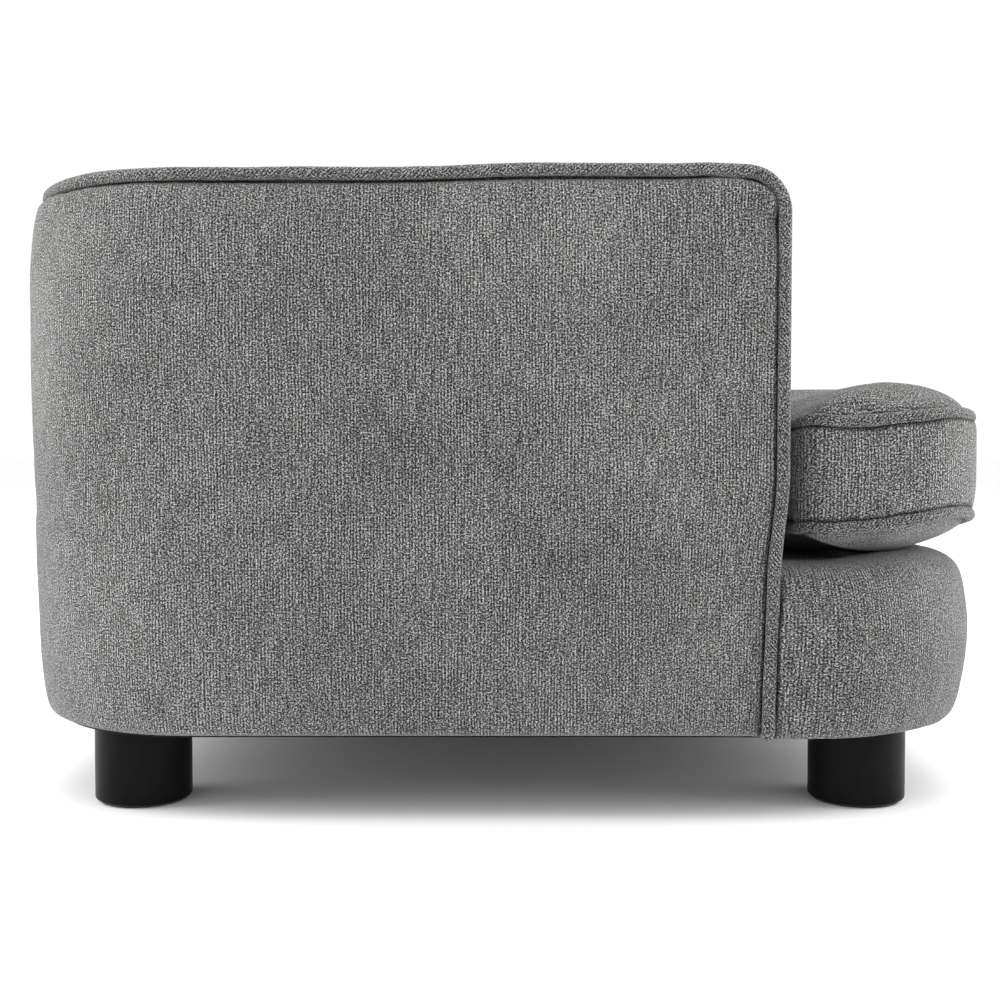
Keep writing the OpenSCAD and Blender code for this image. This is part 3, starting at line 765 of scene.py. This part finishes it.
def back_cover():
    """Fabric over the top and the inside of the back, between the two mitred seams."""
    turns = np.linspace(MITRE, math.pi / 2, 20)
    corner = np.stack([ARM_CX - EDGE_R * np.cos(turns), ARM_CY + EDGE_R * np.sin(turns)], axis=1)
    middle = np.linspace(ARM_CX, -ARM_CX, round(-2 * ARM_CX / STEP) + 1)[1:-1]
    straight = np.stack([middle, np.full(len(middle), REAR_Y - OUTER_IN)], axis=1)
    outer = np.concatenate([corner, straight, (corner * [-1, 1])[::-1]])
    inner_x = np.concatenate([np.full(len(corner), -ARM_FACE), middle * ARM_FACE / -ARM_CX,
                              np.full(len(corner), ARM_FACE)])
    width = outer[:, 1] - BACK_FACE
    d, low, high = section_over(width)
    x = inner_x[:, None] + (outer[:, 0] - inner_x)[:, None] * (d / width[:, None])
    crown = 0.75 + 0.25 * smooth((np.abs(x) - 0.1) / 0.25)
    height, calm = dipped(low * (1 - crown) + high * crown, d, np.abs(x) - ARM_FACE)
    p = np.stack([x, BACK_FACE + d, TOP_Z + height], axis=-1)
    n = np.zeros_like(p)
    n[..., 2] = 1
    p = relief(p, n, 1.2 * edges_fade(d, width) * calm, 21)
    edge = p[len(corner) - 1:len(corner) + len(middle) + 1, 0]
    rows = np.linspace(0, 1, 38)
    drop = edge[:, 2:] + (SEAT_Z - edge[:, 2:]) * rows
    face = np.stack([edge[:, :1] + 0 * drop, edge[:, 1:2] + 0 * drop, drop], axis=-1)
    full = smooth((ARM_FACE - np.abs(face[..., 0])) / 0.08)
    above = np.sin(math.pi * np.clip(rows / CLEAR_FROM, 0, 1))
    face[..., 1] -= (2.5 * MM + 0.6 * MM * waves(face, 0.09, 31)) * above * full
    core = (0, BACK_FACE + 0.05, 0.3)
    over = np.stack([x, over_length(d, height)], axis=-1)
    parts = [grid(p, over, core), grid(face, face[..., ::2] + 0.4, core)]
    piece = piece_from("back_cover", parts, FABRIC)
    flat_until = SEAT_Z + (edge[0, 2] - SEAT_Z) * (1 - CLEAR_FROM)
    behind_cushion = np.flatnonzero(coords(piece.data)[:, 2] < flat_until)
    finer(seamed(inflate(piece, edge_points(piece) + list(behind_cushion), 2 * MM), body_cord()))
    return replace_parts(piece, "back_cover", "back_inner_pad", "back_top_pad")


def base_front_cover():
    """The padded front of the base, rounded over into the deck and rolled under at the bottom."""
    y = ARM_FRONT + CORD_R
    plan = route([(-HALF_W, y), (-HALF_W, FRONT_Y), (HALF_W, FRONT_Y), (HALF_W, y)], [0, FRONT_R, FRONT_R, 0])
    plan = fine_ends(plan)
    out = normals_of(plan, -1)
    s = lengths(plan)
    section = spline([
        (-0.0240, BOTTOM_Z + 0.0001), (-0.0165, BOTTOM_Z + 0.0001), (-0.0122, BOTTOM_Z + 0.0001),
        (-0.0098, BOTTOM_Z + 0.0016), (-0.0080, 0.0555), (-0.0052, 0.0630), (-0.0026, 0.0750),
        (-0.0006, 0.0900), (0.0006, 0.108),
        (0.0004, 0.120), (-0.0012, 0.133), (-0.0032, 0.1440), (-0.0072, 0.1535), (-0.0142, 0.1600),
        (-0.0270, 0.1630), (-0.0400, 0.1630), (-0.0530, 0.1608), (-0.0640, 0.1572)], 0.005)
    v = lengths(section)
    end = np.minimum(s, s[-1] - s)
    upright = smooth((0.165 - section[:, 1]) / 0.02) * smooth((section[:, 0] + 0.03) / 0.01)
    inset = section[None, :, 0] - 4 * MM * (1 - smooth((end - 0.003) / 0.004))[:, None] * upright
    z = np.repeat(section[None, :, 1], len(s), axis=0)
    dip = smooth((z - 0.122) / 0.03) * (7 * MM - 5 * MM * smooth((-inset - 0.03) / 0.03))
    z = z - dip * (1 - smooth((end - 0.02) / 0.10))[:, None]
    pull = np.sin(2 * math.pi * s / 0.024 + 4 * np.sin(s / 0.07))[:, None]
    inset = inset + 0.5 * MM * pull * bell(z - 0.064, 0.018)
    p = np.concatenate([plan[:, None, :] + out[:, None, :] * inset[..., None], z[..., None]], axis=-1)
    p[..., 1] += front_shift(z) * (1 - smooth(end / 0.05))[:, None]
    n = np.concatenate([out[:, None, :] * upright[None, :, None], np.zeros_like(z)[..., None]], axis=-1)
    p = relief(p, n, smooth((z - 0.06) / 0.03) * smooth(end / 0.02)[:, None], 41)
    weave = np.stack(np.broadcast_arrays(s[:, None], v[None, :]), axis=-1)
    piece = piece_from("base_front_cover", [grid(p, weave, (0, -0.1, 0.1))], FABRIC)
    finer(seamed(inflate(piece, edge_points(piece), 1 * MM), body_cord()))
    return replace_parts(piece, "base_front_cover", "base_front_pad")


def deck_cover():
    """The seat deck under the cushion: a T that tucks under the base's front cover and between the arms."""
    wide, narrow = HALF_W - 0.058, ARM_FACE + 3 * MM
    front, neck, rear = FRONT_Y + 0.055, ARM_FRONT + 14 * MM, BACK_FACE - 0.5 * MM
    corners = [(0, rear), (-narrow, rear), (-narrow, neck), (-wide, neck), (-wide, front),
               (wide, front), (wide, neck), (narrow, neck), (narrow, rear), (0, rear)]
    loop = route(corners, [0, 0, 0, 0, 0.08, 0.08, 0, 0, 0, 0], 0.012)[:-1]
    flat, f, _ = filled(loop, 0.012)
    p = np.concatenate([flat, np.full((len(flat), 1), DECK_Z + 1.6 * MM)], axis=1)
    p[:, 2] += 0.7 * MM * waves(p, 0.12, 51)
    piece = piece_from("deck_cover", [(p, f, flat[f] + 0.5)], FABRIC)
    finer(without_painted_seam_shade(piece))
    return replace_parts(piece, "deck_cover", "deck_pad")


def dust_cover():
    """Thin cloth stretched under the frame, inside the rolled hem."""
    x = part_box("dust_cover")[1].x
    inset = HALF_W - x
    y = REAR_Y - inset
    loop = route([(0, -y), (x, -y), (x, y), (-x, y), (-x, -y), (0, -y)],
                 [0, FRONT_R - inset, REAR_R - inset, REAR_R - inset, FRONT_R - inset, 0], 0.012)[:-1]
    flat, f, _ = filled(loop, 0.012)
    p = np.concatenate([flat, np.full((len(flat), 1), BOTTOM_Z + 0.5 * MM)], axis=1)
    p[:, 2] += 0.25 * MM * waves(p, 0.07, 61)
    piece = piece_from("dust_cover", [(p, f[:, ::-1], flat[f[:, ::-1]] + 0.6)], DUST)
    finer(piece, 0.25 * MM)
    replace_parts(piece, "dust_cover")
    return piece


# ---------- seat cushion ----------

CUSHION_A = ARM_FACE - 4 * MM       # half width between the arms
CUSHION_B = -BAND_LOW.x             # half width in front of them
CUSHION_EAR = ARM_FRONT - 8 * MM
CORD_IN = 4.5 * MM                  # inset of the cords from the band
CORD_HIGH = (TOP_CORD[0].z + TOP_CORD[1].z) / 2
CORD_LOW = (LOW_CORD[0].z + LOW_CORD[1].z) / 2
CROWN = 0.0240
RISE_HIGH = 9 * MM                  # how far the front corners draw the upper seam up
RISE_LOW = 14 * MM
ZIP_HALF = 0.252                    # half length of the window for the zip in the band
ZIP_Z = (CORD_HIGH + CORD_LOW) / 2
ZIP_GAP = 0.0135                    # half height of that window


def t_outline(i, step=STEP):
    """The cushion's plan, inset by i, as an anticlockwise loop that starts behind the middle."""
    a, b = CUSHION_A - i, CUSHION_B - i
    front, ear, rear = BAND_LOW.y + i, CUSHION_EAR - i, BAND_HIGH.y - i
    corners = [(0, rear), (-a, rear), (-a, ear), (-b, ear), (-b, front),
               (b, front), (b, ear), (a, ear), (a, rear), (0, rear)]
    rear_r, neck_r, ear_r, front_r = 0.030 - i, 0.008 + i, 0.021 - i, 0.075 - i
    radii = [0, rear_r, neck_r, ear_r, front_r, front_r, ear_r, neck_r, rear_r, 0]
    return route(corners, radii, step)[:-1]


def away(points, loop):
    """Distance from each point to a closed loop, and whether it lies inside."""
    a, b = loop, np.roll(loop, -1, axis=0)
    ab = b - a
    best = np.full(len(points), 9.0)
    inside = np.zeros(len(points), bool)
    for start, along, end in zip(a, ab, b):
        to = points - start
        t = np.clip(to @ along / (along @ along), 0, 1)
        best = np.minimum(best, np.linalg.norm(to - t[:, None] * along, axis=1))
        if start[1] != end[1]:
            spans = (start[1] > points[:, 1]) != (end[1] > points[:, 1])
            cross = start[0] + (points[:, 1] - start[1]) * along[0] / along[1]
            inside ^= spans & (points[:, 0] < cross)
    return best, inside


def filled(loop, step):
    """Fills a loop with even triangles: its points, its faces, and how far each point is from the loop."""
    low, high = loop.min(axis=0), loop.max(axis=0)
    rows = np.arange(low[1], high[1], step * 0.866)
    starts = [low[0] + (k % 2) * step / 2 for k in range(len(rows))]
    spots = np.array([(x, y) for start, y in zip(starts, rows) for x in np.arange(start, high[0], step)])
    gap, inside = away(spots, loop)
    points = np.concatenate([loop, spots[inside & (gap > 0.55 * step)]])
    n = len(loop)
    rim = [(i, (i + 1) % n) for i in range(n)]
    made = geometry.delaunay_2d_cdt([Vector(q) for q in points], rim, [], 1, 1e-7)
    flat = np.array([tuple(q) for q in made[0]])
    faces = np.array([f for f in made[2] if len(f) == 3])
    corner = flat[faces]
    one, two = corner[:, 1] - corner[:, 0], corner[:, 2] - corner[:, 0]
    turned = one[:, 0] * two[:, 1] - one[:, 1] * two[:, 0] < 0
    faces[turned] = faces[turned][:, ::-1]
    return flat, faces, away(flat, loop)[0]


def corner_lift(x, y):
    """How strongly a place is drawn up towards a front corner."""
    return bell(np.hypot(np.abs(x) - CUSHION_B, y - BAND_LOW.y), 0.075)


def crown_profile(gap, reach):
    """Share of the full crown at a distance from the seam, all of it from reach on."""
    t = np.clip(gap / reach, 0, 1)
    return (1 - (1 - t) ** 2.1) ** 0.72


def cushion():
    """The filled T: its panels and its band are simulated as one bag, then taken apart at the seams."""
    seam = t_outline(CORD_IN)
    flat, faces, gap = filled(seam, STEP)
    lift = corner_lift(flat[:, 0], flat[:, 1])
    top = np.column_stack([flat, CORD_HIGH + CROWN * crown_profile(gap, 0.060) + RISE_HIGH * lift])
    fine = smooth(gap / 0.02)
    top[:, 2] += fine * (1.0 * MM * waves(top, 0.16, 71) + 0.5 * MM * waves(top, 0.05, 72))
    for side in (-1, 1):
        top[:, 2] += ear_wrinkle(flat, side)
    low = np.column_stack([flat, CORD_LOW - 0.020 * crown_profile(gap, 0.095) + RISE_LOW * lift])
    low[:, 2] += 0.5 * MM * fine * waves(low, 0.06, 73)
    low[:, 2] = np.maximum(low[:, 2], under_seat(low, gap))
    band, band_weave = band_grid()
    piece = piece_from("cushion", [
        (top, faces, flat[faces]), (low, faces[:, ::-1], flat[faces[:, ::-1]] + 0.37),
        grid(band, band_weave, (0, -0.1, 0.2))], FABRIC)
    co = coords(piece.data)
    ends = away(co[:, :2], seam)[0]
    high_seam = (ends < 0.1 * MM) & (co[:, 2] > ZIP_Z)
    low_seam = (ends < 0.1 * MM) & (co[:, 2] < ZIP_Z)
    by_zip = (co[:, 1] > BAND_HIGH.y - 4 * MM) & (np.abs(co[:, 0]) < ZIP_HALF + 0.01)
    by_zip &= np.abs(co[:, 2] - ZIP_Z) < ZIP_GAP + 6 * MM
    resting = co[:, 2] < DECK_Z + 3.4 * MM
    inflate(piece, np.flatnonzero(high_seam | low_seam | by_zip | resting), 3.5 * MM, loose=0.02)
    co = coords(piece.data)
    co[:, 2] = np.maximum(co[:, 2], under_seat(co, away(co[:, :2], seam)[0]))
    piece.data.vertices.foreach_set("co", co.ravel())
    seamed(piece, cushion_cord(CORD_HIGH, RISE_HIGH), cushion_cord(CORD_LOW, RISE_LOW))
    return taken_apart(piece, len(faces))


def under_seat(p, gap):
    """Height of what the cushion rests on: the deck, and in front of the arms the base's padded edge."""
    edge = smooth((ARM_FRONT + 0.02 - p[:, 1]) / 0.03) * (1 - smooth((gap - 0.035) / 0.03))
    return DECK_Z + 3.1 * MM + 6.6 * MM * edge


def ear_wrinkle(flat, side):
    """A fold that runs from the neck of the T up to the crown of the part in front of the arm."""
    a = np.array([side * 0.440, -0.190])
    b = np.array([side * 0.408, -0.252])
    t = np.clip((flat - a) @ (b - a) / ((b - a) @ (b - a)), 0, 1)
    off = np.linalg.norm(flat - a - t[:, None] * (b - a), axis=1)
    fold = 1.5 * MM * bell(off, 10 * MM) * np.sin(math.pi * (0.12 + 0.76 * t))
    return fold - 0.5 * MM * bell(off - 0.017, 0.008)


def band_grid():
    """The upright band, slightly full, between the two seams."""
    loop = t_outline(CORD_IN)
    loop = np.concatenate([loop, loop[:1]])
    t = np.roll(loop[:-1], -1, axis=0) - np.roll(loop[:-1], 1, axis=0)
    t = np.concatenate([t, t[:1]])
    t /= np.linalg.norm(t, axis=1)[:, None]
    out = np.stack([t[:, 1], -t[:, 0]], axis=1)
    s = lengths(loop)
    share = 0.5 - 0.5 * np.cos(math.pi * np.linspace(0, 1, 16))
    lift = corner_lift(loop[:, 0], loop[:, 1])[:, None]
    z = (CORD_LOW + RISE_LOW * lift) * (1 - share) + (CORD_HIGH + RISE_HIGH * lift) * share
    bulge = CORD_IN * smooth(np.minimum(share, 1 - share) / 0.075)
    p = np.concatenate([loop[:, None, :] + out[:, None, :] * bulge[None, :, None], z[..., None]], axis=-1)
    weave = np.stack(np.broadcast_arrays(s[:, None], z), axis=-1)
    return p, weave


def taken_apart(bag, panel_faces):
    """Splits the bag into its two panels and its band, with the zip's window cut out of the band."""
    co = coords(bag.data)
    count = len(bag.data.polygons)
    kinds = np.full(count, 2)
    kinds[:panel_faces] = 0
    kinds[panel_faces:2 * panel_faces] = 1
    middles = np.array([co[list(f.vertices)].mean(axis=0) for f in bag.data.polygons])
    window = (middles[:, 1] > BAND_HIGH.y - 5 * MM) & (np.abs(middles[:, 0]) < ZIP_HALF)
    window &= np.abs(middles[:, 2] - ZIP_Z) < ZIP_GAP
    kinds[window] = 3
    made = []
    names = ("cushion_top_panel", "cushion_bottom_panel", "cushion_band")
    for kind, name in enumerate(names):
        b = bmesh.new()
        b.from_mesh(bag.data)
        b.faces.ensure_lookup_table()
        bmesh.ops.delete(b, geom=[f for f in b.faces if kinds[f.index] != kind], context="FACES")
        mesh = bpy.data.meshes.new(name)
        b.to_mesh(mesh)
        b.free()
        mesh.materials.append(FABRIC)
        part = bpy.data.objects.new(name, mesh)
        scene.collection.objects.link(part)
        made.append(finer(part))
    bpy.data.objects.remove(bag)
    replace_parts(made[0], "cushion_top_panel", "cushion_core")
    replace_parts(made[1], "cushion_bottom_panel")
    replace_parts(made[2], "cushion_band")
    return made


def cushion_cord(z, rise):
    """Middle of one of the cushion's cords, curled up a little beside each arm."""
    loop = t_outline(CORD_IN - 1 * MM, 3 * MM)
    line = np.column_stack([loop, z + rise * corner_lift(loop[:, 0], loop[:, 1])])
    ear = bell(np.hypot(np.abs(loop[:, 0]) - CUSHION_B + 0.006, loop[:, 1] - CUSHION_EAR + 0.008), 0.012)
    line[:, 2] += 0.5 * MM * waves(line, 0.06, 81) + 2.5 * MM * ear
    return line


def cushion_welt(name, line):
    """One of the cushion's two closed cords."""
    thick = CORD_R * (0.98 + 0.07 * waves(line, 0.012, 82))
    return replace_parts(without_painted_seam_shade(tube(name, line, thick, 14, PIPING, closed=True)), name)


def zip_tape():
    """The two halves of the zip's tape, parted under the teeth."""
    low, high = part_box("zip_tape")
    x = np.linspace(low.x, high.x, 160)
    parts = []
    for side in (-1, 1):
        reach = np.linspace(0.3 * MM, high.z - ZIP_Z, 7)
        p = np.stack(np.broadcast_arrays(x[:, None], high.y - 0.0002, ZIP_Z + side * reach), axis=-1).copy()
        p[..., 1] += 0.35 * MM * waves(p, 0.02, 91) * smooth(reach / 0.006)
        parts.append(grid(p, np.stack([p[..., 2], p[..., 0]], axis=-1) + 0.5, (0, 0, ZIP_Z)))
    piece = piece_from("zip_tape", parts, TAPE)
    finer(piece, 0.8 * MM)
    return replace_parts(piece, "zip_tape")


def zip_teeth():
    """The nylon coils of the zip."""
    low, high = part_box("zip_teeth")
    pitch = 1.7 * MM
    turns = int((high.x - low.x) / pitch)
    t = np.linspace(0, turns, turns * 8 + 1)
    parts = []
    for side in (-1, 1):
        y = (low.y + high.y) / 2 + 0.5 * MM * np.sin(2 * math.pi * t)
        z = ZIP_Z + side * (1.05 * MM + 1.1 * MM * np.cos(2 * math.pi * t))
        line = np.stack([low.x + pitch * t, y, z], axis=1)
        parts.append(tube("coil", line, 0.35 * MM, 5, NYLON))
    keep, extra = parts
    b = bmesh.new()
    b.from_mesh(keep.data)
    b.from_mesh(extra.data)
    b.to_mesh(keep.data)
    b.free()
    bpy.data.objects.remove(extra)
    keep.name = "zip_teeth"
    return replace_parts(keep, "zip_teeth")


# ---------- putting it together ----------

def with_slot(piece, body):
    """Attaches a piece to the body it moves with."""
    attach(piece, body)
    return piece


padded = [outer_cover(), arm_cover(-1, "left"), arm_cover(1, "right"), back_cover(), base_front_cover(),
          deck_cover()]
for cover in padded:
    with_slot(cover, "sofa")
with_slot(outer_welt(), "sofa")
with_slot(dust_cover(), "sofa")
for panel in cushion():
    with_slot(panel, "seat_cushion")
with_slot(cushion_welt("cushion_top_welt", cushion_cord(CORD_HIGH, RISE_HIGH)), "seat_cushion")
with_slot(cushion_welt("cushion_bottom_welt", cushion_cord(CORD_LOW, RISE_LOW)), "seat_cushion")
with_slot(zip_tape(), "seat_cushion")
with_slot(zip_teeth(), "seat_cushion")

FINISH = {
    "leg_glides": GLIDE, "seat_deck": PLY, "hanger_bolts": ZINC, "tee_nuts": ZINC, "deck_screws": ZINC,
    "dust_cover_staples": ZINC, "zip_slider": ZIP_METAL, "zip_pull": ZIP_METAL,
}
for node_name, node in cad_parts.items():
    if node_name.startswith("leg_") and node_name != "leg_glides":
        finish = LEG
    elif node_name.endswith(("_board", "_corners")):
        finish = PLY
    else:
        finish = FINISH.get(node_name, TIMBER)
    node.data.materials.clear()
    node.data.materials.append(finish)


# ---------- studio ----------

def softbox(name, place, target, size, power):
    """A rectangular lamp that faces its target."""
    data = bpy.data.lights.new(name, "AREA")
    data.shape = "RECTANGLE"
    data.size, data.size_y = size
    data.energy = power
    lamp = bpy.data.objects.new(name, data)
    lamp.location = place
    lamp.rotation_euler = (Vector(target) - Vector(place)).to_track_quat("-Z", "Y").to_euler()
    scene.collection.objects.link(lamp)
    return lamp


def white_world():
    world = bpy.data.worlds.new("studio")
    scene.world = world
    world.use_nodes = True
    background = world.node_tree.nodes["Background"]
    background.inputs["Color"].default_value = (1, 1, 1, 1)
    background.inputs["Strength"].default_value = 1.02


def pale_floor():
    mesh = bpy.data.meshes.new("floor")
    b = bmesh.new()
    bmesh.ops.create_grid(b, x_segments=1, y_segments=1, size=30)
    b.to_mesh(mesh)
    b.free()
    floor = bpy.data.objects.new("floor", mesh)
    scene.collection.objects.link(floor)
    m = Nodes("floor")
    speck = m.noise(m.place(), scale=90.0, detail=2)
    m.greys(speck, (0.0, 0.95), (1.0, 0.98))
    m.shader.inputs["Roughness"].default_value = 0.9
    mesh.materials.append(m.material)


def side_camera():
    """Looks along +X at the sofa's left side, a little down."""
    data = bpy.data.cameras.new("camera")
    data.sensor_width = 36
    data.lens = 48.6
    camera = bpy.data.objects.new("camera", data)
    camera.location = (-1.270, 0, 0.228)
    camera.rotation_euler = (math.radians(90 - 2.1), 0, math.radians(-90))
    scene.collection.objects.link(camera)
    scene.camera = camera


white_world()
pale_floor()
softbox("left_box", (-0.4, 2.4, 1.0), (0, 0.1, 0.25), (1.6, 2.2), 62)
softbox("right_box", (-0.4, -2.4, 1.0), (0, -0.1, 0.25), (1.6, 2.2), 56)
softbox("top_box", (-0.3, 0, 2.6), (0, 0, 0.2), (2.0, 2.4), 30)
side_camera()
scene.view_settings.view_transform = "Standard"
